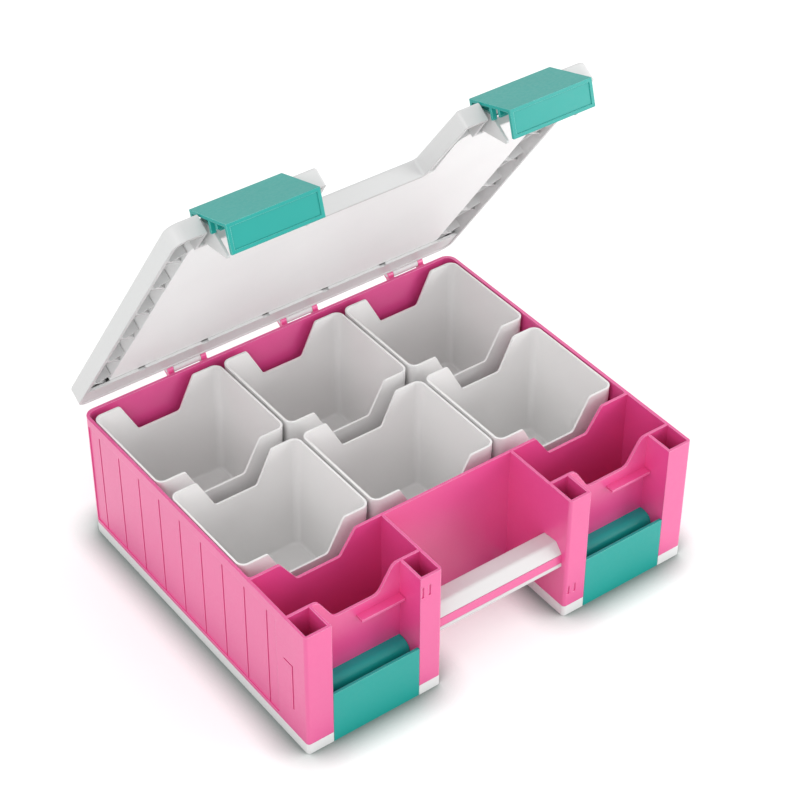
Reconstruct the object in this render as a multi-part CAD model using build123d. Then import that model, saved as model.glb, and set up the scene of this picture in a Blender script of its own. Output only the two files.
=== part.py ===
from build123d import *

import os
from math import cos, hypot, radians, sin

# Base, overall. X runs right, Y runs back, Z up; the origin is the centre of the footprint on the floor.
WIDTH = 340.0
DEPTH = 288.0
RIM_Z = 112.0
STRIP = 9.2
WALL = 2.6
FLOOR = 2.2
BACK_ROUND = 9.0
EDGE_ROUND = 2.5

# Front wings: the middle recess, the columns and the latch bays between them
NOTCH_HALF = 56.4
COLUMN_INNER = 18.7
COLUMN_OUTER = 21.5
COLUMN_DEPTH = 23.4
COLUMN_WALL = 2.2
NOTCH_DEPTH = 67.8
DIVIDER = 2.2

# Finger scoops in the divider and in the pocket's front wall
SCOOP_TOP = 63.0
SCOOP_FOOT = 36.0
DIVIDER_SCOOP_DEPTH = 20.0
POCKET_SCOOP_DEPTH = 21.5
SCOOP_ROUND = 3.0
POCKET_SCOOP_ROUND = 7.0
SCOOP_SPREAD = 10.0
SCOOP_RISE = 5.0

# Side wall panels with their upright grooves
SIDE_RECESS = 0.8
SIDE_FROM_FRONT = 35.0
SIDE_FROM_BACK = 8.0
SIDE_ABOVE_STRIP = 3.3
SIDE_BELOW_RIM = 7.5
GROOVE_FROM_BACK = 22.0
GROOVE_FROM_FRONT = 46.8
GROOVE_COUNT = 9
GROOVE_WIDTH = 1.4
GROOVE_DEPTH = 0.8
GROOVE_MARGIN = 3.0
BRACKET_FROM_FRONT = 15.5
BRACKET_REACH = 11.0
BRACKET_LOW = 31.5
BRACKET_HIGH = 74.0

# Pairs of shallow slots in the front of the inner columns: high on the left one, low on the right one
HIGH_SLOT_BELOW_RIM = 8.7
HIGH_SLOT_LENGTH = 9.8
HIGH_SLOT_LEFT = 4.4
LOW_SLOT_ABOVE_STRIP = 11.6
LOW_SLOT_LENGTH = 7.5
LOW_SLOT_LEFT = 2.8
COLUMN_SLOT_SPREAD = 2.9
COLUMN_SLOT_WIDTH = 2.0
COLUMN_SLOT_DEPTH = 0.7

# Strike shelf under which each closed latch hooks, in the right half of its bay
STRIKE_PROUD = 6.8
STRIKE_HEIGHT = 2.0
STRIKE_GAP = 0.4
STRIKE_SIDE_GAP = 0.3

# Trays
TRAY_SIDE_GAP = 1.05
TRAY_GAP = 2.7
TRAY_BACK_GAP = 6.2
TRAY_ROW_GAP = 13.3
TRAY_FRONT_GAP = 11.9
TRAY_WALL = 1.7
TRAY_DRAFT = 2.5
TRAY_ROUND = 7.0
TRAY_FOOT_ROUND = 4.0
TRAY_BELOW_RIM = 0.5
TRAY_SCOOP_TOP = 63.5
TRAY_SCOOP_FOOT = 35.5
TRAY_SCOOP_DEPTH = 27.5
LOCATOR_HEIGHT = 2.4
LOCATOR_WIDTH = 1.6
LOCATOR_GAP = 0.4

# Handle
HANDLE_INSET = 5.2
HANDLE_DEPTH = 21.6
HANDLE_SLOPE = 7.3
HANDLE_FOOT = 46.0
HANDLE_PLINTH = 3.4
HANDLE_BAND = 7.8
HANDLE_GRIP = 8.6
HANDLE_FALL = 1.4
HANDLE_LIP_ROUND = 0.8
HANDLE_CREST_ROUND = 3.0
HANDLE_BACK_ROUND = 2.0
HANDLE_FOOT_ROUND = 1.0
HANDLE_TRIM_INSET = 0.8
HANDLE_SIDE_GAP = 0.1
SPIGOT_LENGTH = 3.4
SPIGOT_DEPTH = 8.0
SPIGOT_HEIGHT = 5.0
SPIGOT_GAP = 0.15

# Teal catch blocks at the foot of the bays
CATCH_SIDE_GAP = 0.3
CATCH_WALL = 2.3
CATCH_TOP = 46.0
LEDGE_TOP = 42.0
LEDGE_FRONT = 11.0
LEDGE_ROUND = 8.0

# Lid, measured closed
LID_GAP = 0.3
LID_HEIGHT = 14.0
LID_SIDE = 2.0
LID_BACK = 1.8
LID_FRONT = 1.0
LID_WALL = 2.6
LID_SHEET = 2.2
LID_NOTCH_WIDER = 0.6
LID_NOTCH_NARROWER = 5.4
LID_NOTCH_BEHIND = 0.7
LID_ROUND = 10.0
LID_TOP_ROUND = 2.0
LID_OPEN = 55.8
STRIP_DEPTH = 23.0
STRIP_INSET = 0.8

# Lid inner panel and the channel gussets beside it
CHANNEL = 22.0
PANEL_INSET = 3.0
PANEL_SHEET = 1.8
PANEL_GAP = 0.4
PANEL_LOBE_GAP = 1.0
PANEL_NOTCH_SIDE = 8.0
PANEL_NOTCH_BACK = 9.5
PANEL_ROUND = 12.0
GUSSET_FROM_BACK = 28.8
GUSSET_FROM_FRONT = 43.5
GUSSET_COUNT = 6
GUSSET_HALF = 7.0
GUSSET_WALL = 1.3
GUSSET_INSET = 3.6
TAB_FROM_LEFT = 45.0
TAB_FROM_RIGHT = 76.6
TAB_COUNT = 5
TAB_LENGTH = 6.0
TAB_DEPTH = 2.2

# Lid hinges
HINGE_FROM_LEFT = 93.0
HINGE_FROM_RIGHT = 42.0
HINGE_COUNT = 3
HINGE_BEHIND = 5.5
HINGE_ABOVE = 0.5
HINGE_RADIUS = 3.4
EAR_INSIDE = 12.2
EAR_WIDTH = 4.8
EAR_ROOT = 12.0
KNUCKLE_SIDE_GAP = 0.3
KNUCKLE_RAISE = 0.6
PIN_RADIUS = 1.5
PIN_FIT = 0.02
PIN_RUNNING = 0.08

# Latches on the lid
LATCH_PLATE = 45.3
LATCH_LEG = 20.8
LATCH_THICK = 2.4
LATCH_LIP = 6.0
LATCH_SIDE_GAP = 1.4
LATCH_INSET = 0.2
LATCH_BELOW_TOP = 3.9
LATCH_OPEN = 50.8
PIVOT_BACK = 16.7
PIVOT_DOWN = 4.8
PIVOT_BOSS = 3.4
HIGH_RIB_UP = 22.0
HIGH_RIB_REACH = 11.4
LOW_RIB_UP = 13.0
LOW_RIB_REACH = 6.5
RIB_THICK = 2.0
LEG_PANEL_MARGIN = 2.6
LEG_PANEL_DEPTH = 0.5
ARM_WIDTH = 2.2
ARM_ROOT = 15.0
ARM_GAP = 0.4
CHEEK_WIDTH = 2.0
CHEEK_IN = 4.0
CHEEK_DROP = 22.0
CHEEK_NOSE_GAP = 0.6
CHEEK_BACK_GAP = 2.0
CHEEK_TOP_REACH = 4.5
CHEEK_BEVEL_DOWN = 11.2
CHEEK_TIP_ROUND = 1.5
OPENING_SIDE_GAP = 0.5
OPENING_WALL = 2.2
OPENING_BEHIND_PIVOT = 6.7

SHARP = ()

HALF_W = WIDTH / 2
HALF_D = DEPTH / 2
FLOOR_TOP = STRIP + FLOOR
BAY_BACK = -HALF_D + COLUMN_DEPTH
DIVIDER_FRONT = -HALF_D + NOTCH_DEPTH
DIVIDER_BACK = DIVIDER_FRONT + DIVIDER
BAY_INNER = NOTCH_HALF + COLUMN_INNER
BAY_OUTER = HALF_W - COLUMN_OUTER
BAY_CENTRE = (BAY_INNER + BAY_OUTER) / 2
BAY_HALF = (BAY_OUTER - BAY_INNER) / 2

TRAY_WIDTH = (WIDTH - 2 * WALL - 2 * TRAY_SIDE_GAP - 2 * TRAY_GAP) / 3
TRAY_PITCH = TRAY_WIDTH + TRAY_GAP
ROOM_BACK = HALF_D - WALL
TRAY_DEPTH = (ROOM_BACK - DIVIDER_BACK - TRAY_BACK_GAP - TRAY_ROW_GAP - TRAY_FRONT_GAP) / 2
BACK_ROW_Y = ROOM_BACK - TRAY_BACK_GAP - TRAY_DEPTH / 2
FRONT_ROW_Y = DIVIDER_BACK + TRAY_FRONT_GAP + TRAY_DEPTH / 2

HANDLE_FRONT = -HALF_D + HANDLE_INSET
HANDLE_BACK = HANDLE_FRONT + HANDLE_DEPTH
HANDLE_TRIM_FOOT = HANDLE_FOOT + HANDLE_PLINTH
HANDLE_LIP = HANDLE_TRIM_FOOT + HANDLE_BAND
HANDLE_TOP = HANDLE_LIP + HANDLE_GRIP

LID_Z = RIM_Z + LID_GAP
LID_TOP = LID_Z + LID_HEIGHT
LID_INSIDE = LID_TOP - LID_SHEET
LID_BACK_Y = HALF_D + LID_BACK
LID_FRONT_Y = -HALF_D + LID_FRONT
AXIS_Y = HALF_D + HINGE_BEHIND
AXIS_Z = RIM_Z + HINGE_ABOVE
HINGE_PITCH = (WIDTH - HINGE_FROM_LEFT - HINGE_FROM_RIGHT) / (HINGE_COUNT - 1)
HINGE_CENTRES = [-HALF_W + HINGE_FROM_LEFT + HINGE_PITCH * number for number in range(HINGE_COUNT)]
TAB_PITCH = (WIDTH - TAB_FROM_LEFT - TAB_FROM_RIGHT) / (TAB_COUNT - 1)
GROOVE_PITCH = (DEPTH - GROOVE_FROM_BACK - GROOVE_FROM_FRONT) / (GROOVE_COUNT - 1)
GUSSET_PITCH = (LID_BACK_Y - LID_FRONT_Y - GUSSET_FROM_BACK - GUSSET_FROM_FRONT) / (GUSSET_COUNT - 1)
LID_NOTCH_FRONT = NOTCH_HALF + LID_NOTCH_WIDER
LID_NOTCH_BACK = NOTCH_HALF - LID_NOTCH_NARROWER
LID_NOTCH_Y = DIVIDER_FRONT + LID_NOTCH_BEHIND
PANEL_HALF = HALF_W + LID_SIDE - CHANNEL

LATCH_FACE = -HALF_D + LATCH_INSET
LATCH_TOP = LID_TOP - LATCH_BELOW_TOP
LATCH_FOOT = LATCH_TOP - LATCH_PLATE
LATCH_HALF = BAY_HALF - LATCH_SIDE_GAP
PIVOT_Y = LATCH_FACE + PIVOT_BACK
PIVOT_Z = LATCH_TOP - PIVOT_DOWN
CHEEK_OUT = LATCH_HALF - CHEEK_IN
ARM_OUT = CHEEK_OUT - CHEEK_WIDTH - ARM_GAP
OPENING_HALF = BAY_HALF - OPENING_SIDE_GAP
OPENING_BACK = PIVOT_Y + OPENING_BEHIND_PIVOT
PANEL_LOBE_END = OPENING_BACK + OPENING_WALL + PANEL_LOBE_GAP


def block(x0, x1, y0, y1, z0, z1):
    """A box between two corners."""
    return Pos((x0 + x1) / 2, (y0 + y1) / 2, (z0 + z1) / 2) * Box(x1 - x0, y1 - y0, z1 - z0)


def outline(points, radii):
    """A flat polygon whose corners are rounded one by one."""
    face = Polygon(*points, align=None)
    for radius in sorted(set(radii) - {0}):
        wanted = [p for p, r in zip(points, radii) if r == radius]
        corners = [
            v for v in face.vertices() if any(hypot(v.X - p[0], v.Y - p[1]) < 1e-4 for p in wanted)
        ]
        face = fillet(corners, radius)
    return face


def upright(points, radii, z0, z1):
    """A prism that stands on a plan outline."""
    return Pos(0, 0, z0) * extrude(outline(points, radii), amount=z1 - z0, dir=(0, 0, 1))


def along_x(points, radii, x0, x1):
    """A prism along X from a (y, z) section."""
    return extrude(Plane.YZ.offset(x0) * outline(points, radii), amount=x1 - x0, dir=(1, 0, 0))


def along_y(points, radii, y0, y1):
    """A prism along Y from an (x, z) section."""
    return extrude(Plane.XZ.offset(-y1) * outline(points, radii), amount=y1 - y0, dir=(0, -1, 0))


def rod(radius, x0, x1, y, z):
    """A round bar along X."""
    return Pos((x0 + x1) / 2, y, z) * Rot(0, 90, 0) * Cylinder(radius, x1 - x0)


def scoop(centre, y0, y1, rim, top, foot, depth, corner):
    """The cutter of a finger scoop: wide at the rim, narrow at its foot, with rounded shoulders."""
    section = [
        (centre - foot / 2, rim - depth),
        (centre + foot / 2, rim - depth),
        (centre + top / 2, rim),
        (centre + top / 2 + SCOOP_SPREAD, rim),
        (centre + top / 2 + SCOOP_SPREAD, rim + SCOOP_RISE),
        (centre - top / 2 - SCOOP_SPREAD, rim + SCOOP_RISE),
        (centre - top / 2 - SCOOP_SPREAD, rim),
        (centre - top / 2, rim),
    ]
    return along_y(section, [corner] * 3 + [0] * 4 + [corner], y0, y1)


def base_plan():
    """The base's footprint, with the middle recess in front."""
    points = [
        (-HALF_W, -HALF_D),
        (-NOTCH_HALF, -HALF_D),
        (-NOTCH_HALF, DIVIDER_FRONT),
        (NOTCH_HALF, DIVIDER_FRONT),
        (NOTCH_HALF, -HALF_D),
        (HALF_W, -HALF_D),
        (HALF_W, HALF_D),
        (-HALF_W, HALF_D),
    ]
    radii = [EDGE_ROUND, EDGE_ROUND, 0, 0, EDGE_ROUND, EDGE_ROUND, BACK_ROUND, BACK_ROUND]
    return points, radii


def side_grooves(side):
    """The shallow side panel, its upright grooves and the moulded bracket mark."""
    face = HALF_W - SIDE_RECESS
    deep = face - GROOVE_DEPTH
    low, high = STRIP + SIDE_ABOVE_STRIP, RIM_Z - SIDE_BELOW_RIM

    def cut(from_x, y0, y1, z0, z1):
        x0, x1 = sorted((side * from_x, side * (HALF_W + 1)))
        return block(x0, x1, y0, y1, z0, z1)

    cuts = [cut(face, -HALF_D + SIDE_FROM_FRONT, HALF_D - SIDE_FROM_BACK, low, high)]
    for number in range(GROOVE_COUNT):
        y = HALF_D - GROOVE_FROM_BACK - number * GROOVE_PITCH
        cuts.append(cut(deep, y - GROOVE_WIDTH / 2, y + GROOVE_WIDTH / 2, low, high - GROOVE_MARGIN))
    y = -HALF_D + BRACKET_FROM_FRONT
    cuts.append(cut(face, y, y + GROOVE_WIDTH, BRACKET_LOW, BRACKET_HIGH))
    cuts.append(cut(face, y, y + BRACKET_REACH, BRACKET_HIGH - GROOVE_WIDTH, BRACKET_HIGH))
    return cuts


def column_slots(side):
    """The two shallow upright slots in the front of one inner column."""
    cuts = []
    low, high = STRIP + LOW_SLOT_ABOVE_STRIP, STRIP + LOW_SLOT_ABOVE_STRIP + LOW_SLOT_LENGTH
    middle = side * (NOTCH_HALF + BAY_INNER) / 2 - LOW_SLOT_LEFT
    if side < 0:
        low, high = RIM_Z - HIGH_SLOT_BELOW_RIM - HIGH_SLOT_LENGTH, RIM_Z - HIGH_SLOT_BELOW_RIM
        middle = side * (NOTCH_HALF + BAY_INNER) / 2 - HIGH_SLOT_LEFT
    for x in (middle - COLUMN_SLOT_SPREAD, middle + COLUMN_SLOT_SPREAD):
        x0, x1 = x - COLUMN_SLOT_WIDTH / 2, x + COLUMN_SLOT_WIDTH / 2
        cuts.append(block(x0, x1, -HALF_D - 1, -HALF_D + COLUMN_SLOT_DEPTH, low, high))
    return cuts


def ears():
    """The pairs of ears that carry the hinge pins, grown from the back wall."""
    root = HALF_D - WALL / 2
    section = [
        (root, AXIS_Z - EAR_ROOT),
        (AXIS_Y + HINGE_RADIUS, AXIS_Z),
        (AXIS_Y - HINGE_RADIUS, AXIS_Z - 2 * HINGE_ABOVE),
        (root, RIM_Z - HINGE_ABOVE),
    ]
    solids = []
    for centre in HINGE_CENTRES:
        for side in (-1, 1):
            near, far = side * EAR_INSIDE, side * (EAR_INSIDE + EAR_WIDTH)
            x0, x1 = sorted((centre + near, centre + far))
            ear = along_x(section, SHARP, x0, x1)
            ear += rod(HINGE_RADIUS, x0, x1, AXIS_Y, AXIS_Z)
            solids.append(ear - rod(PIN_RADIUS + PIN_FIT, x0 - 1, x1 + 1, AXIS_Y, AXIS_Z))
    return solids


def row_feet():
    """Where the foot of each row of trays starts and ends, front to back."""
    half = TRAY_DEPTH / 2 - TRAY_DRAFT
    return [(y - half, y + half) for y in (FRONT_ROW_Y, BACK_ROW_Y)]


def locators():
    """Low floor ribs that keep each row of trays in its place."""
    half = HALF_W - WALL
    ribs = []
    for start, end in row_feet():
        for y0 in (start - LOCATOR_GAP - LOCATOR_WIDTH, end + LOCATOR_GAP):
            top = FLOOR_TOP + LOCATOR_HEIGHT
            ribs.append(block(-half, half, y0, y0 + LOCATOR_WIDTH, FLOOR_TOP, top))
    return ribs


def spigot(side, extra):
    """The stub by which the handle sits in a column wall, grown by a clearance for its socket."""
    y = (HANDLE_FRONT + HANDLE_BACK) / 2
    z = HANDLE_LIP + (HANDLE_GRIP - HANDLE_FALL) / 2
    half_y = SPIGOT_DEPTH / 2 + extra
    half_z = SPIGOT_HEIGHT / 2 + extra
    root = NOTCH_HALF - HANDLE_SIDE_GAP
    x0, x1 = sorted((side * (root - extra), side * (root + SPIGOT_LENGTH + extra)))
    return block(x0, x1, y - half_y, y + half_y, z - half_z, z + half_z)


def make_base_shell():
    """The main compartment, with the divider as its front wall."""
    plan = [(-HALF_W, DIVIDER_FRONT), (HALF_W, DIVIDER_FRONT), (HALF_W, HALF_D), (-HALF_W, HALF_D)]
    shell = upright(plan, [0, 0, BACK_ROUND, BACK_ROUND], STRIP, RIM_Z)
    half, back = HALF_W - WALL, HALF_D - WALL
    corner = BACK_ROUND - WALL
    room = [(-half, DIVIDER_BACK), (half, DIVIDER_BACK), (half, back), (-half, back)]
    shell -= upright(room, [EDGE_ROUND, EDGE_ROUND, corner, corner], FLOOR_TOP, RIM_Z + 1)
    for side in (-1, 1):
        reach = (DIVIDER_FRONT - 1, DIVIDER_BACK + 1)
        sizes = (SCOOP_TOP, SCOOP_FOOT, DIVIDER_SCOOP_DEPTH, SCOOP_ROUND)
        shell -= scoop(side * BAY_CENTRE, *reach, RIM_Z, *sizes)
        for cut in side_grooves(side):
            shell -= cut
    for piece in ears() + locators():
        shell += piece
    return shell


def make_pocket(side):
    """The front bin between the divider and the columns, with the latch's strike shelf."""
    x0, x1 = sorted((side * NOTCH_HALF, side * HALF_W))
    pocket = block(x0, x1, BAY_BACK, DIVIDER_FRONT, STRIP, RIM_Z)
    x0, x1 = sorted((side * (NOTCH_HALF + COLUMN_WALL), side * (HALF_W - WALL)))
    pocket -= block(x0, x1, BAY_BACK + COLUMN_WALL, DIVIDER_FRONT, FLOOR_TOP, RIM_Z + 1)
    centre = side * BAY_CENTRE
    reach = (BAY_BACK - 1, BAY_BACK + COLUMN_WALL + 1)
    sizes = (SCOOP_TOP, SCOOP_FOOT, POCKET_SCOOP_DEPTH, POCKET_SCOOP_ROUND)
    pocket -= scoop(centre, *reach, RIM_Z, *sizes)
    for cut in side_grooves(side):
        pocket -= cut
    low = LATCH_FOOT + LATCH_THICK + STRIKE_GAP
    shelf = (BAY_BACK - STRIKE_PROUD, BAY_BACK + COLUMN_WALL / 2)
    return pocket + block(centre, centre + BAY_HALF - STRIKE_SIDE_GAP, *shelf, low, low + STRIKE_HEIGHT)


def make_column(side, near, far, rounded):
    """An upright square pillar, open at its top, whose back the pocket's front wall closes."""
    points = [(near, -HALF_D), (far, -HALF_D), (far, BAY_BACK), (near, BAY_BACK)]
    radii = [EDGE_ROUND if x == rounded and y == -HALF_D else 0 for x, y in points]
    column = upright([(side * x, y) for x, y in points], radii, STRIP, RIM_Z)
    x0, x1 = sorted((side * (near + COLUMN_WALL), side * (far - COLUMN_WALL)))
    return column - block(x0, x1, -HALF_D + COLUMN_WALL, BAY_BACK, FLOOR_TOP, RIM_Z + 1)


def make_inner_column(side):
    """The pillar beside the handle: its outer wall holds the handle's spigot."""
    column = make_column(side, NOTCH_HALF, BAY_INNER, NOTCH_HALF) - spigot(side, SPIGOT_GAP)
    for cut in column_slots(side):
        column -= cut
    return column


def make_outer_column(side):
    """The pillar at the corner of the case."""
    column = make_column(side, BAY_OUTER, HALF_W, HALF_W)
    for cut in side_grooves(side):
        column -= cut
    return column


def make_base_bottom():
    points, radii = base_plan()
    face = outline(points, radii)
    for side in (-1, 1):
        x0, x1 = sorted((side * BAY_INNER, side * BAY_OUTER))
        reach = COLUMN_DEPTH + 1
        middle = Pos((x0 + x1) / 2, BAY_BACK - reach / 2)
        face -= middle * Rectangle(x1 - x0, reach)
    cover = extrude(face, amount=STRIP)
    hollow = extrude(offset(face, amount=-WALL, kind=Kind.INTERSECTION), amount=STRIP)
    cover -= Pos(0, 0, FLOOR) * hollow
    for x in (-TRAY_PITCH / 2, TRAY_PITCH / 2):
        cover += block(x - WALL / 2, x + WALL / 2, DIVIDER_BACK, HALF_D - WALL, FLOOR, STRIP)
    return cover


def make_handle_grip():
    half = NOTCH_HALF - HANDLE_SIDE_GAP
    section = [
        (HANDLE_BACK, HANDLE_LIP),
        (HANDLE_FRONT, HANDLE_LIP),
        (HANDLE_FRONT + HANDLE_SLOPE, HANDLE_TOP),
        (HANDLE_BACK, HANDLE_TOP - HANDLE_FALL),
    ]
    rounds = [0, HANDLE_LIP_ROUND, HANDLE_CREST_ROUND, HANDLE_BACK_ROUND]
    grip = along_x(section, rounds, -half, half)
    for side in (-1, 1):
        grip += spigot(side, 0)
    return grip


def make_handle_trim():
    half = NOTCH_HALF - HANDLE_SIDE_GAP
    front, back = HANDLE_FRONT + HANDLE_TRIM_INSET, HANDLE_BACK - HANDLE_TRIM_INSET
    return block(-half, half, front, back, HANDLE_TRIM_FOOT, HANDLE_LIP)


def make_handle_base():
    half = NOTCH_HALF - HANDLE_SIDE_GAP
    section = [
        (HANDLE_BACK, HANDLE_FOOT),
        (HANDLE_FRONT, HANDLE_FOOT),
        (HANDLE_FRONT, HANDLE_TRIM_FOOT),
        (HANDLE_BACK, HANDLE_TRIM_FOOT),
    ]
    rounds = [HANDLE_BACK_ROUND, HANDLE_FOOT_ROUND, HANDLE_LIP_ROUND, 0]
    return along_x(section, rounds, -half, half)


def make_catch(side):
    """Front plate on a floor, and behind a slot the rounded ledge, hollow from below."""
    x0, x1 = sorted((side * BAY_INNER, side * BAY_OUTER))
    x0 += CATCH_SIDE_GAP
    x1 -= CATCH_SIDE_GAP
    front = -HALF_D
    back = BAY_BACK
    catch = block(x0, x1, front, front + CATCH_WALL, 0, CATCH_TOP)
    catch += block(x0, x1, front, back, 0, CATCH_WALL)
    nose = front + LEDGE_FRONT
    ledge = [(nose, 0), (back, 0), (back, LEDGE_TOP), (nose, LEDGE_TOP)]
    solid = along_x(ledge, [0, 0, 0, LEDGE_ROUND], x0, x1)
    inner = [
        (nose + CATCH_WALL, -1),
        (back - CATCH_WALL, -1),
        (back - CATCH_WALL, LEDGE_TOP - CATCH_WALL),
        (nose + CATCH_WALL, LEDGE_TOP - CATCH_WALL),
    ]
    inside = along_x(inner, [0, 0, 0, LEDGE_ROUND - CATCH_WALL], x0 + CATCH_WALL, x1 - CATCH_WALL)
    return catch + solid - inside


def lid_plan():
    """The lid's outline: two lobes over the wings and a slanted notch between them."""
    side = HALF_W + LID_SIDE
    points = [
        (-side, LID_FRONT_Y),
        (-LID_NOTCH_FRONT, LID_FRONT_Y),
        (-LID_NOTCH_BACK, LID_NOTCH_Y),
        (LID_NOTCH_BACK, LID_NOTCH_Y),
        (LID_NOTCH_FRONT, LID_FRONT_Y),
        (side, LID_FRONT_Y),
        (side, LID_BACK_Y),
        (-side, LID_BACK_Y),
    ]
    radii = [LID_ROUND, EDGE_ROUND, EDGE_ROUND, EDGE_ROUND, EDGE_ROUND, LID_ROUND, LID_ROUND, LID_ROUND]
    return points, radii


def cheek(x0, x1):
    """The fin at one end of a latch opening: it carries the pin and dips into the bay."""
    low = LID_Z - CHEEK_DROP
    nose = LATCH_FACE + LATCH_THICK + CHEEK_NOSE_GAP
    root = OPENING_BACK + OPENING_WALL / 2
    back = BAY_BACK - CHEEK_BACK_GAP
    section = [
        (root, LID_TOP),
        (PIVOT_Y - CHEEK_TOP_REACH, LID_TOP),
        (nose, LID_TOP - CHEEK_BEVEL_DOWN),
        (nose, low),
        (back, LID_Z),
        (root, LID_Z),
    ]
    return along_x(section, [0, EDGE_ROUND, EDGE_ROUND, CHEEK_TIP_ROUND, 0, 0], x0, x1)


def latch_opening(shell, side):
    """Cuts one latch opening in the lid and walls it round, with a cheek near each end."""
    centre = side * BAY_CENTRE
    left, right = centre - OPENING_HALF, centre + OPENING_HALF
    box_back = OPENING_BACK + OPENING_WALL
    for x0, x1 in ((left - OPENING_WALL, left), (right, right + OPENING_WALL)):
        shell += block(x0, x1, LID_FRONT_Y, box_back, LID_Z, LID_INSIDE)
    shell += block(left, right, OPENING_BACK, box_back, LID_Z, LID_INSIDE)
    shell -= block(left, right, LID_FRONT_Y - 1, OPENING_BACK, LID_Z - 1, LID_TOP + 1)
    for end in (-1, 1):
        x0, x1 = sorted((centre + end * CHEEK_OUT, centre + end * (CHEEK_OUT - CHEEK_WIDTH)))
        shell += cheek(x0, x1)
    reach = CHEEK_OUT + 1
    return shell - rod(PIN_RADIUS + PIN_FIT, centre - reach, centre + reach, PIVOT_Y, PIVOT_Z)


def gussets():
    """Crossed thin ribs in the channel along each side of the lid."""
    near = PANEL_HALF + PANEL_GAP
    far = HALF_W + LID_SIDE - LID_WALL / 2
    low = LID_Z + GUSSET_INSET
    ribs = []
    for side in (-1, 1):
        for number in range(GUSSET_COUNT):
            y = LID_BACK_Y - GUSSET_FROM_BACK - number * GUSSET_PITCH
            for lean in (-GUSSET_HALF, GUSSET_HALF):
                points = [
                    (side * near, y - lean - GUSSET_WALL / 2),
                    (side * far, y + lean - GUSSET_WALL / 2),
                    (side * far, y + lean + GUSSET_WALL / 2),
                    (side * near, y - lean + GUSSET_WALL / 2),
                ]
                ribs.append(upright(points, SHARP, low, LID_INSIDE))
    return ribs


def knuckle(centre):
    """The lid's barrel between two ears, with the web that joins it to the back wall."""
    x0 = centre - EAR_INSIDE + KNUCKLE_SIDE_GAP
    x1 = centre + EAR_INSIDE - KNUCKLE_SIDE_GAP
    root = LID_BACK_Y - LID_WALL / 2
    section = [
        (root, LID_Z + KNUCKLE_RAISE),
        (AXIS_Y, LID_Z + KNUCKLE_RAISE),
        (AXIS_Y, AXIS_Z + HINGE_RADIUS),
        (root, AXIS_Z + HINGE_RADIUS),
    ]
    return along_x(section, SHARP, x0, x1) + rod(HINGE_RADIUS, x0, x1, AXIS_Y, AXIS_Z)


def make_lid_shell():
    points, radii = lid_plan()
    plan = outline(points, radii)
    shell = Pos(0, 0, LID_Z) * extrude(plan, amount=LID_HEIGHT)
    shell = fillet(shell.faces().sort_by(Axis.Z)[-1].edges(), LID_TOP_ROUND)
    inside = offset(plan, amount=-LID_WALL, kind=Kind.INTERSECTION)
    shell -= Pos(0, 0, LID_Z - 1) * extrude(inside, amount=LID_INSIDE - LID_Z + 1)
    half = HALF_W + LID_SIDE - LID_WALL
    back = LID_BACK_Y - LID_WALL
    low = LID_Z + STRIP_INSET
    ledge = block(-half - 1, half + 1, back - STRIP_DEPTH, back + 1, low, low + LID_SHEET)
    shell += ledge & (Pos(0, 0, LID_Z) * extrude(plan, amount=LID_HEIGHT))
    edge = back - STRIP_DEPTH
    for number in range(TAB_COUNT):
        x = -HALF_W + TAB_FROM_LEFT + number * TAB_PITCH
        shell -= block(x, x + TAB_LENGTH, edge - 1, edge + TAB_DEPTH, low - 1, low + LID_SHEET + 1)
    for side in (-1, 1):
        shell = latch_opening(shell, side)
    for rib in gussets():
        shell += rib
    for centre in HINGE_CENTRES:
        shell += knuckle(centre)
        x0, x1 = centre - EAR_INSIDE, centre + EAR_INSIDE
        shell -= rod(PIN_RADIUS + PIN_RUNNING, x0, x1, AXIS_Y, AXIS_Z)
    return shell


def make_lid_panel():
    """The smooth inner sheet, whose rim reaches up to the underside of the lid's top."""
    back = LID_BACK_Y - LID_WALL - STRIP_DEPTH - PANEL_GAP
    side = LID_NOTCH_FRONT + PANEL_NOTCH_SIDE
    middle = LID_NOTCH_Y + PANEL_NOTCH_BACK
    points = [
        (-PANEL_HALF, PANEL_LOBE_END),
        (-side, PANEL_LOBE_END),
        (-side, middle),
        (side, middle),
        (side, PANEL_LOBE_END),
        (PANEL_HALF, PANEL_LOBE_END),
        (PANEL_HALF, back),
        (-PANEL_HALF, back),
    ]
    radii = [PANEL_ROUND] * 2 + [EDGE_ROUND] * 2 + [PANEL_ROUND] * 2 + [EDGE_ROUND] * 2
    plan = outline(points, radii)
    low = LID_Z + PANEL_INSET
    panel = Pos(0, 0, low) * extrude(plan, amount=LID_INSIDE - low)
    inside = offset(plan, amount=-PANEL_SHEET, kind=Kind.INTERSECTION)
    return panel - Pos(0, 0, low + PANEL_SHEET) * extrude(inside, amount=LID_INSIDE - low)


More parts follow.
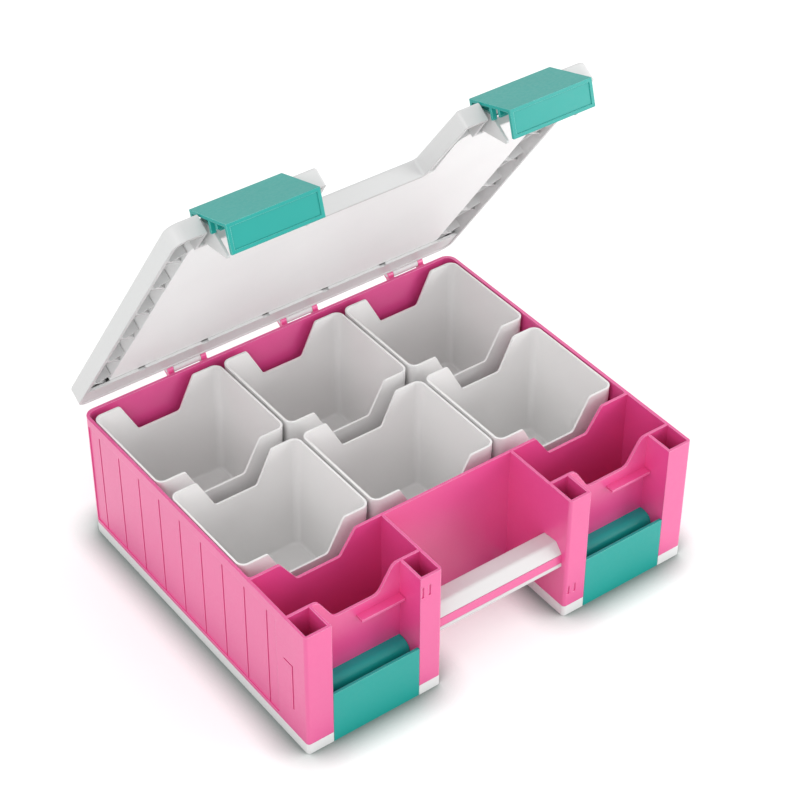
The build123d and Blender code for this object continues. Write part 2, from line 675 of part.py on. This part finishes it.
def make_latch(side):
    """Plate, leg, top lip, stiffening ribs and the two arms that reach back to the pin."""
    centre = side * BAY_CENTRE
    left, right = centre - LATCH_HALF, centre + LATCH_HALF
    inner = LATCH_FACE + LATCH_THICK
    plate = block(left, right, LATCH_FACE, inner, LATCH_FOOT, LATCH_TOP)
    leg_end = LATCH_FACE + LATCH_LEG
    plate += block(left, right, LATCH_FACE, leg_end, LATCH_FOOT, LATCH_FOOT + LATCH_THICK)
    margin = LEG_PANEL_MARGIN
    low, high = LATCH_FOOT - 1, LATCH_FOOT + LEG_PANEL_DEPTH
    plate -= block(left + margin, right - margin, LATCH_FACE + margin, leg_end - margin, low, high)
    lip_end = LATCH_FACE + LATCH_LIP
    plate += block(left, right, LATCH_FACE, lip_end, LATCH_TOP - LATCH_THICK, LATCH_TOP)
    root = LATCH_FACE + LATCH_THICK / 2
    spans = [(-ARM_OUT, ARM_OUT)]
    spans += [(-LATCH_HALF, -CHEEK_OUT - ARM_GAP), (CHEEK_OUT + ARM_GAP, LATCH_HALF)]
    for up, reach in ((HIGH_RIB_UP, HIGH_RIB_REACH), (LOW_RIB_UP, LOW_RIB_REACH)):
        low, high = LATCH_FOOT + up - RIB_THICK / 2, LATCH_FOOT + up + RIB_THICK / 2
        for x0, x1 in spans:
            plate += block(centre + x0, centre + x1, root, LATCH_FACE + reach, low, high)
    section = [
        (root, LATCH_TOP - ARM_ROOT),
        (PIVOT_Y, PIVOT_Z - PIVOT_BOSS),
        (PIVOT_Y, PIVOT_Z + PIVOT_BOSS),
        (root, LATCH_TOP),
    ]
    for end in (-1, 1):
        x0, x1 = sorted((centre + end * ARM_OUT, centre + end * (ARM_OUT - ARM_WIDTH)))
        plate += along_x(section, SHARP, x0, x1) + rod(PIVOT_BOSS, x0, x1, PIVOT_Y, PIVOT_Z)
    reach = LATCH_HALF + 1
    return plate - rod(PIN_RADIUS + PIN_RUNNING, centre - reach, centre + reach, PIVOT_Y, PIVOT_Z)


def make_latch_pin(side):
    centre = side * BAY_CENTRE
    return rod(PIN_RADIUS, centre - CHEEK_OUT, centre + CHEEK_OUT, PIVOT_Y, PIVOT_Z)


def make_hinge_pin(centre):
    reach = EAR_INSIDE + EAR_WIDTH
    return rod(PIN_RADIUS, centre - reach, centre + reach, AXIS_Y, AXIS_Z)


def tapered(width, depth, shrink, corner, low, high):
    """A rounded box that narrows towards its foot."""
    foot = Pos(0, 0, low) * RectangleRounded(width - 2 * shrink, depth - 2 * shrink, corner)
    top = Pos(0, 0, high) * RectangleRounded(width, depth, corner)
    return loft([foot, top])


def make_tray():
    """One tray about its own centre line, standing at its height in the base."""
    foot, top = FLOOR_TOP, RIM_Z - TRAY_BELOW_RIM
    body = tapered(TRAY_WIDTH, TRAY_DEPTH, TRAY_DRAFT, TRAY_ROUND, foot, top)
    body = fillet(body.faces().sort_by(Axis.Z)[0].edges(), TRAY_FOOT_ROUND)
    width, depth = TRAY_WIDTH - 2 * TRAY_WALL, TRAY_DEPTH - 2 * TRAY_WALL
    corner = TRAY_ROUND - TRAY_WALL
    inside = tapered(width, depth, TRAY_DRAFT, corner, foot + TRAY_WALL, top)
    inside = fillet(inside.faces().sort_by(Axis.Z)[0].edges(), TRAY_FOOT_ROUND - TRAY_WALL)
    tray = body - inside
    reach = TRAY_DEPTH / 2 + 1
    return tray - scoop(0, -reach, reach, top, TRAY_SCOOP_TOP, TRAY_SCOOP_FOOT, TRAY_SCOOP_DEPTH, SCOOP_ROUND)


def swing(shape, y, z, angle):
    """Turns a shape about an axis along X through (y, z), front edge upwards."""
    return Pos(0, y, z) * Rot(-angle, 0, 0) * Pos(0, -y, -z) * shape


def opened(shape):
    """A lid piece as photographed, with the lid standing open."""
    return swing(shape, AXIS_Y, AXIS_Z, LID_OPEN)


def make_parts():
    parts = {
        "base_shell": make_base_shell(),
        "base_bottom_cover": make_base_bottom(),
        "handle_grip": make_handle_grip(),
        "handle_trim": make_handle_trim(),
        "handle_base": make_handle_base(),
        "lid_shell": opened(make_lid_shell()),
        "lid_inner_panel": opened(make_lid_panel()),
    }
    for side, name in ((-1, "left"), (1, "right")):
        parts["front_pocket_" + name] = make_pocket(side)
        parts["column_inner_" + name] = make_inner_column(side)
        parts["column_outer_" + name] = make_outer_column(side)
        parts["catch_" + name] = make_catch(side)
        latch = swing(make_latch(side), PIVOT_Y, PIVOT_Z, LATCH_OPEN)
        parts["latch_" + name] = opened(latch)
        parts["latch_pin_" + name] = opened(make_latch_pin(side))
    for number, centre in enumerate(HINGE_CENTRES, 1):
        parts["hinge_pin_%d" % number] = make_hinge_pin(centre)
    tray = make_tray()
    for row, y in (("back", BACK_ROW_Y), ("front", FRONT_ROW_Y)):
        for column, place in ((-1, "left"), (0, "middle"), (1, "right")):
            parts["tray_%s_%s" % (row, place)] = Pos(column * TRAY_PITCH, y, 0) * tray
    return parts


os.makedirs("parts", exist_ok=True)
for name, shape in make_parts().items():
    export_step(shape, "parts/%s.step" % name)
print("lid hinge axis y %.3f z %.3f" % (AXIS_Y, AXIS_Z))
turn = radians(LID_OPEN)
back, up = PIVOT_Y - AXIS_Y, PIVOT_Z - AXIS_Z
pin_y = AXIS_Y + back * cos(turn) + up * sin(turn)
pin_z = AXIS_Z - back * sin(turn) + up * cos(turn)
print("latch pin at rest y %.3f z %.3f" % (pin_y, pin_z))
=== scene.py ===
from math import cos, radians, sin

import bpy
from mathutils import Matrix, Vector

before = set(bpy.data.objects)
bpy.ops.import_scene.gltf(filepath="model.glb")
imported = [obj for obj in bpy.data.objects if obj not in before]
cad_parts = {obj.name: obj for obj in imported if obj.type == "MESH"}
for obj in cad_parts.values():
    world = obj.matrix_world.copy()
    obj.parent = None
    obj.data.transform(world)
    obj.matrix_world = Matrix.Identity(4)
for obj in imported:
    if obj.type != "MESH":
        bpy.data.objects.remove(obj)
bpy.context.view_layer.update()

# Camera, fitted to the photograph: angles in degrees, distances in metres
AZIMUTH = -36.68
ELEVATION = 39.38
ROLL = 0.30
SHIFT_RIGHT = 0.0117
SHIFT_UP = 0.1060
DISTANCE = 1.6939
NEAR_CLIP = 0.05
FAR_CLIP = 50.0

# The photograph's width and the focal length in its pixels, and the camera's sensor in millimetres
IMAGE_PIXELS = 800
FOCAL_PIXELS = 2225.9
SENSOR_WIDTH = 36.0

# Colours, linear: each plastic's tone, and a paler one for its edges, which stands partly for wear and
# partly for a painted highlight
PINK = (0.80, 0.070, 0.295)
PINK_EDGE_WEAR_AND_HIGHLIGHT = (0.95, 0.40, 0.64)
TEAL = (0.008, 0.35, 0.31)
TEAL_EDGE_WEAR_AND_HIGHLIGHT = (0.25, 0.72, 0.66)
# The same white plastic at two levels: lighter on the base's bottom strip as painted light, darker on the
# lid shell as painted shade
LIT_STRIP_WHITE = (0.79, 0.79, 0.79)
WHITE_EDGE_WEAR_AND_HIGHLIGHT = (0.92, 0.92, 0.92)
# The lid shell's darker copy of the white, with its edge tone: painted shade
SHADED_LID_WHITE = (0.68, 0.68, 0.68)
SHADED_LID_EDGE_WEAR_AND_HIGHLIGHT = (0.78, 0.78, 0.78)
HANDLE = (0.66, 0.65, 0.65)
SHEET = (0.94, 0.94, 0.94)
TRAY = (0.87, 0.86, 0.855)
STEEL = (0.62, 0.62, 0.64)
FLOOR_TONE = (0.79, 0.81, 0.80)
FLOOR_SHADE = (0.20, 0.23, 0.22)
PLAIN_WHITE = (1.0, 1.0, 1.0, 1.0)

# What sets the plastics apart. shade darkens the tone's clouds, rough is the mean roughness,
# grain the bump's strength, gloss the specular level and coat the clear coat's weight.
# jointed is for the pink moulding, whose pieces meet flush.
PLASTICS = {
    "pink plastic": dict(
        base=PINK, edge=PINK_EDGE_WEAR_AND_HIGHLIGHT, shade=0.94, rough=0.40, grain=0.10, gloss=0.9, coat=0.7, jointed=True
    ),
    "teal plastic": dict(
        base=TEAL, edge=TEAL_EDGE_WEAR_AND_HIGHLIGHT, shade=0.94, rough=0.38, grain=0.10, gloss=0.35, coat=0.1
    ),
    # The same white at two levels: lighter on the strip as painted light, darker on the lid as painted shade
    "lit strip white": dict(
        base=LIT_STRIP_WHITE, edge=WHITE_EDGE_WEAR_AND_HIGHLIGHT, shade=0.97, rough=0.38, grain=0.10, gloss=0.5, coat=0.1
    ),
    "shaded lid white": dict(
        base=SHADED_LID_WHITE, edge=SHADED_LID_EDGE_WEAR_AND_HIGHLIGHT, shade=0.97, rough=0.38, grain=0.10, gloss=0.5, coat=0.1
    ),
    "handle plastic": dict(
        base=HANDLE, edge=WHITE_EDGE_WEAR_AND_HIGHLIGHT, shade=0.97, rough=0.40, grain=0.10, gloss=0.5, coat=0.1
    ),
    "white sheet": dict(
        base=SHEET, edge=WHITE_EDGE_WEAR_AND_HIGHLIGHT, shade=0.97, rough=0.45, grain=0.16, gloss=0.5, coat=0.05
    ),
    "tray plastic": dict(
        base=TRAY, edge=WHITE_EDGE_WEAR_AND_HIGHLIGHT, shade=0.97, rough=0.40, grain=0.10, gloss=0.5, coat=0.1
    ),
}
PIN_STEEL = "pin steel"

# The material of each node, by the start of its name. The first one that fits is taken.
LOOKS = [
    ("base_bottom", "lit strip white"),
    ("base", "pink plastic"),
    ("front_pocket", "pink plastic"),
    ("column", "pink plastic"),
    ("handle_trim", "pink plastic"),
    ("handle", "handle plastic"),
    ("lid_shell", "shaded lid white"),
    ("lid_inner", "white sheet"),
    ("tray", "tray plastic"),
    ("catch", "teal plastic"),
    ("latch_pin", PIN_STEEL),
    ("latch", "teal plastic"),
    ("hinge_pin", PIN_STEEL),
]

# Plastic's noises: scales per metre, and the span of each noise that has an effect
CLOUD_SCALE = 14.0
CLOUD_SPAN = (0.3, 0.7)
SPECK_SCALE = 420.0
SPECK_SPAN = (0.62, 0.75)
SPECK_TINT = 0.25
SPECK_HEIGHT = 0.5
FINE_SCALE = 2600.0
GRAIN_DEPTH = 0.00006
ROUGH_SPAN = (0.3, 0.7)
ROUGH_CHANGE = 0.05

# Plastic's edges: the rounding in metres, where it stops in inner corners, and the paler tone painted there,
# partly wear and partly a painted highlight.
# BEND_SPAN is the cosine between the rounded normal and the plain one.
EDGE_RADIUS = 0.0008
EDGE_SAMPLES = 4
CORNER_REACH = 0.002
CORNER_SAMPLES = 8
CORNER_SPAN = (0.80, 0.95)
BEND_SPAN = (0.98, 0.80)
# How patchy the paler edge tone is, which is partly wear and partly a painted highlight
WEAR_AND_HIGHLIGHT_SPAN = (0.35, 0.65)
WEAR_AND_HIGHLIGHT_LEVELS = (0.5, 1.0)
RUB_ROUGHER = 0.08

# Plastic's surface
PLASTIC_IOR = 1.49
COAT_ROUGHNESS = 0.3

# Where the pink moulding's pieces meet flush, in metres: planes across Y, and the walls they cross
FRONT_SEAM = -0.1206
BACK_SEAM = -0.0762
SEAM_REACH = 0.0012
NOTCH_WALL = 0.0575
BAY_WALLS = (0.0740, 0.1496)
SIDE_WALL = 0.1689
WALL_REACH = 0.0016

# Pin steel: fine lines round the pin, which lies along X, and a dulled tone
LINE_SCALES = (3000.0, 60.0, 60.0)
LINE_SPAN = (0.3, 0.7)
LINE_DEPTH = 0.00003
LINE_STRENGTH = 0.3
LINE_ROUGHNESS = (0.22, 0.38)
DULL_SCALE = 90.0
DULL_SPAN = (0.3, 0.7)
DULL_SHADE = 0.8

# Studio: the world's light on the object, the floor and its contact shade, and the lamps
WORLD_LEVEL = 0.92
FLOOR_HALF = 6.0
FLOOR_LIFT = 0.30
CONTACT_REACH = 0.028
CONTACT_SAMPLES = 16
CONTACT_SPAN = (0.5, 1.0)
LAMPS = [
    dict(name="key", place=(-2.4, -1.2, 1.8), target=(0, 0, 0.1), size=1.6, watts=22.0),
    dict(name="front", place=(1.3, -1.1, 0.45), target=(0, 0, 0.15), size=1.0, watts=13.5),
]

# The Mix node's two inputs and its output, for each kind of value
MIX_SOCKETS = {"RGBA": (6, 7, 2), "VECTOR": (4, 5, 1)}
UNIT = (0.0, 1.0)


class Nodes:
    """A small helper that adds shader nodes and links them."""

    def __init__(self, tree):
        self.tree = tree
        tree.nodes.clear()

    def feed(self, socket, value):
        """Links a socket to another node's output, or gives it a plain value."""
        if isinstance(value, bpy.types.NodeSocket):
            self.tree.links.new(value, socket)
        else:
            socket.default_value = value

    def add(self, kind, values=None, **settings):
        node = self.tree.nodes.new(kind)
        for name, value in settings.items():
            setattr(node, name, value)
        for name, value in (values or {}).items():
            self.feed(node.inputs[name], value)
        return node

    def mixed(self, factor, first, second, kind="RGBA"):
        """first where the factor is 0 and second where it is 1."""
        first_input, second_input, output = MIX_SOCKETS[kind]
        node = self.tree.nodes.new("ShaderNodeMix")
        node.data_type = kind
        self.feed(node.inputs[0], factor)
        self.feed(node.inputs[first_input], first)
        self.feed(node.inputs[second_input], second)
        return node.outputs[output]

    def noise(self, place, scale, detail):
        sockets = {"Vector": place, "Scale": scale, "Detail": detail}
        return self.add("ShaderNodeTexNoise", sockets).outputs["Fac"]

    def math(self, operation, first, second):
        return self.add("ShaderNodeMath", {0: first, 1: second}, operation=operation).outputs[0]

    def near(self, value, centre, reach):
        """1 where the value is within reach of the centre, else 0."""
        return self.add("ShaderNodeMath", {0: value, 1: centre, 2: reach}, operation="COMPARE").outputs[0]

    def largest(self, values):
        total = values[0]
        for value in values[1:]:
            total = self.math("MAXIMUM", total, value)
        return total

    def mapped(self, value, span, levels):
        """The value, with the span's two ends brought to the two levels."""
        sockets = {
            "Value": value,
            "From Min": span[0],
            "From Max": span[1],
            "To Min": levels[0],
            "To Max": levels[1],
        }
        return self.add("ShaderNodeMapRange", sockets).outputs[0]


def with_alpha(colour):
    return (*colour, 1.0)


def darkened(colour, shade):
    return tuple(channel * shade for channel in colour)


def seams(nodes, place):
    """1 close to where two pieces of the pink moulding meet flush, so that no edge shows there."""
    axes = nodes.add("ShaderNodeSeparateXYZ", {"Vector": place}).outputs
    across = nodes.math("ABSOLUTE", axes["X"], 0.0)
    walls = [nodes.near(across, wall, WALL_REACH) for wall in (NOTCH_WALL, SIDE_WALL)]
    bays = [nodes.near(across, wall, WALL_REACH) for wall in BAY_WALLS]
    at_front = nodes.near(axes["Y"], FRONT_SEAM, SEAM_REACH)
    at_back = nodes.near(axes["Y"], BACK_SEAM, SEAM_REACH)
    front = nodes.math("MULTIPLY", at_front, nodes.largest(walls + bays))
    back = nodes.math("MULTIPLY", at_back, nodes.largest(walls))
    return nodes.largest([front, back])


def plastic(name, base, edge, shade, rough, grain, gloss, coat, jointed=False):
    """Moulded plastic: cloudy tone, fine grain and paler edges, painted partly as wear and partly as a
    highlight.
    """
    material = bpy.data.materials.new(name)
    material.use_nodes = True
    nodes = Nodes(material.node_tree)
    place = nodes.add("ShaderNodeTexCoord").outputs["Object"]
    cloud = nodes.noise(place, CLOUD_SCALE, 3.0)
    speck = nodes.noise(place, SPECK_SCALE, 2.0)
    fine = nodes.noise(place, FINE_SCALE, 1.0)

    darker = with_alpha(darkened(base, shade))
    tone = nodes.mixed(nodes.mapped(cloud, CLOUD_SPAN, UNIT), darker, with_alpha(base))
    tone = nodes.mixed(nodes.mapped(speck, SPECK_SPAN, (0.0, SPECK_TINT)), tone, darker)

    # Rounded edges, but not in inner corners or along flush joints, where a real moulding has none
    bevel = nodes.add("ShaderNodeBevel", {"Radius": EDGE_RADIUS}, samples=EDGE_SAMPLES).outputs["Normal"]
    plain = nodes.add("ShaderNodeNewGeometry").outputs["Normal"]
    occlusion = nodes.add("ShaderNodeAmbientOcclusion", {"Distance": CORNER_REACH}, samples=CORNER_SAMPLES)
    outer = nodes.mapped(occlusion.outputs["AO"], CORNER_SPAN, UNIT)
    if jointed:
        outer = nodes.math("MULTIPLY", outer, nodes.math("SUBTRACT", 1.0, seams(nodes, place)))
    rounded = nodes.mixed(outer, plain, bevel, kind="VECTOR")

    # Paler tone on the rounded edges: partly wear, partly a painted highlight
    turn = nodes.add("ShaderNodeVectorMath", {0: rounded, 1: plain}, operation="DOT_PRODUCT")
    edge_wear_and_highlight = nodes.mapped(turn.outputs["Value"], BEND_SPAN, UNIT)
    wear_and_highlight = nodes.math("MULTIPLY", edge_wear_and_highlight, nodes.mapped(cloud, WEAR_AND_HIGHLIGHT_SPAN, WEAR_AND_HIGHLIGHT_LEVELS))
    tone = nodes.mixed(wear_and_highlight, tone, with_alpha(edge))

    height = nodes.math("ADD", nodes.math("MULTIPLY", speck, SPECK_HEIGHT), fine)
    bump = nodes.add(
        "ShaderNodeBump", {"Strength": grain, "Distance": GRAIN_DEPTH, "Height": height, "Normal": rounded}
    )
    roughness = nodes.mapped(speck, ROUGH_SPAN, (rough - ROUGH_CHANGE, rough + ROUGH_CHANGE))
    roughness = nodes.math("ADD", roughness, nodes.math("MULTIPLY", wear_and_highlight, RUB_ROUGHER))
    surface = {
        "Base Color": tone,
        "Roughness": roughness,
        "Normal": bump.outputs["Normal"],
        "Coat Weight": coat,
        "Coat Roughness": COAT_ROUGHNESS,
        "IOR": PLASTIC_IOR,
        "Specular IOR Level": gloss,
    }
    shader = nodes.add("ShaderNodeBsdfPrincipled", surface)
    nodes.add("ShaderNodeOutputMaterial", {"Surface": shader.outputs["BSDF"]})
    return material


def steel(name):
    """Drawn pin steel with fine lines round it and a tone that is dulled in places."""
    material = bpy.data.materials.new(name)
    material.use_nodes = True
    nodes = Nodes(material.node_tree)
    place = nodes.add("ShaderNodeTexCoord").outputs["Object"]
    stretched = nodes.add("ShaderNodeMapping", {"Vector": place, "Scale": LINE_SCALES}).outputs[0]
    lines = nodes.noise(stretched, 1.0, 3.0)
    cloud = nodes.noise(place, DULL_SCALE, 2.0)
    dull = with_alpha(darkened(STEEL, DULL_SHADE))
    tone = nodes.mixed(nodes.mapped(cloud, DULL_SPAN, UNIT), dull, with_alpha(STEEL))
    bump = nodes.add("ShaderNodeBump", {"Strength": LINE_STRENGTH, "Distance": LINE_DEPTH, "Height": lines})
    surface = {
        "Base Color": tone,
        "Metallic": 1.0,
        "Roughness": nodes.mapped(lines, LINE_SPAN, LINE_ROUGHNESS),
        "Normal": bump.outputs["Normal"],
    }
    shader = nodes.add("ShaderNodeBsdfPrincipled", surface)
    nodes.add("ShaderNodeOutputMaterial", {"Surface": shader.outputs["BSDF"]})
    return material


def dress():
    """Gives every carried-over node its material."""
    materials = {name: plastic(name, **look) for name, look in PLASTICS.items()}
    materials[PIN_STEEL] = steel(PIN_STEEL)
    for name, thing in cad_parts.items():
        look = next(look for start, look in LOOKS if name.startswith(start))
        thing.data.materials.clear()
        thing.data.materials.append(materials[look])


def set_camera():
    """The photograph's own view: level axes from the two angles, then the roll and the shift."""
    azimuth, elevation, roll = radians(AZIMUTH), radians(ELEVATION), radians(ROLL)
    back = Vector((sin(azimuth) * cos(elevation), -cos(azimuth) * cos(elevation), sin(elevation)))
    right = Vector((0, 0, 1)).cross(back).normalized()
    up = back.cross(right)
    level, tilt = cos(roll), sin(roll)
    right, up = right * level + up * tilt, up * level - right * tilt
    data = bpy.data.cameras.new("camera")
    data.sensor_fit = "HORIZONTAL"
    data.sensor_width = SENSOR_WIDTH
    data.lens = FOCAL_PIXELS / IMAGE_PIXELS * SENSOR_WIDTH
    data.clip_start = NEAR_CLIP
    data.clip_end = FAR_CLIP
    camera = bpy.data.objects.new("camera", data)
    bpy.context.scene.collection.objects.link(camera)
    turned = Matrix((right, up, back)).transposed().to_4x4()
    turned.translation = right * SHIFT_RIGHT + up * SHIFT_UP + back * DISTANCE
    camera.matrix_world = turned
    bpy.context.scene.camera = camera


def area_light(name, place, target, size, watts):
    """A square lamp at a place, turned to face its target."""
    data = bpy.data.lights.new(name, "AREA")
    data.shape = "SQUARE"
    data.size = size
    data.energy = watts
    light = bpy.data.objects.new(name, data)
    bpy.context.scene.collection.objects.link(light)
    light.location = place
    light.rotation_euler = (Vector(target) - Vector(place)).to_track_quat("-Z", "Y").to_euler()


def straight_rays(nodes):
    """1 for rays that reach the camera directly, by a mirror or through glass."""
    path = nodes.add("ShaderNodeLightPath").outputs
    total = nodes.math("ADD", path["Is Camera Ray"], path["Is Glossy Ray"])
    total = nodes.math("ADD", total, path["Is Transmission Ray"])
    return nodes.math("MINIMUM", total, 1.0)


def set_world():
    """A plain pale sky, which is white where it is seen and a little dimmer as a light."""
    world = bpy.data.worlds.new("studio")
    world.use_nodes = True
    bpy.context.scene.world = world
    nodes = Nodes(world.node_tree)
    level = nodes.mapped(straight_rays(nodes), UNIT, (WORLD_LEVEL, 1.0))
    sky = nodes.add("ShaderNodeBackground", {"Color": PLAIN_WHITE, "Strength": level})
    nodes.add("ShaderNodeOutputWorld", {"Surface": sky.outputs["Background"]})


def set_floor():
    """A matt pale floor, lifted to white where it is seen, but not in the shade close to the box."""
    mesh = bpy.data.meshes.new("floor")
    corners = [(x * FLOOR_HALF, y * FLOOR_HALF, 0) for x, y in ((-1, -1), (1, -1), (1, 1), (-1, 1))]
    mesh.from_pydata(corners, [], [(0, 1, 2, 3)])
    floor = bpy.data.objects.new("floor", mesh)
    bpy.context.scene.collection.objects.link(floor)
    material = bpy.data.materials.new("floor")
    material.use_nodes = True
    nodes = Nodes(material.node_tree)
    occlusion = nodes.add("ShaderNodeAmbientOcclusion", {"Distance": CONTACT_REACH}, samples=CONTACT_SAMPLES)
    clear = nodes.mapped(occlusion.outputs["AO"], CONTACT_SPAN, UNIT)
    tone = nodes.mixed(clear, with_alpha(FLOOR_SHADE), with_alpha(FLOOR_TONE))
    matt = nodes.add("ShaderNodeBsdfDiffuse", {"Color": tone})
    lift = nodes.math("MULTIPLY", clear, nodes.mapped(straight_rays(nodes), UNIT, (0.0, FLOOR_LIFT)))
    glow = nodes.add("ShaderNodeEmission", {"Color": PLAIN_WHITE, "Strength": lift})
    both = nodes.add("ShaderNodeAddShader", {0: matt.outputs[0], 1: glow.outputs[0]})
    nodes.add("ShaderNodeOutputMaterial", {"Surface": both.outputs[0]})
    mesh.materials.append(material)


set_camera()
dress()
set_world()
set_floor()
for lamp in LAMPS:
    area_light(**lamp)
bpy.context.scene.view_settings.view_transform = "Standard"
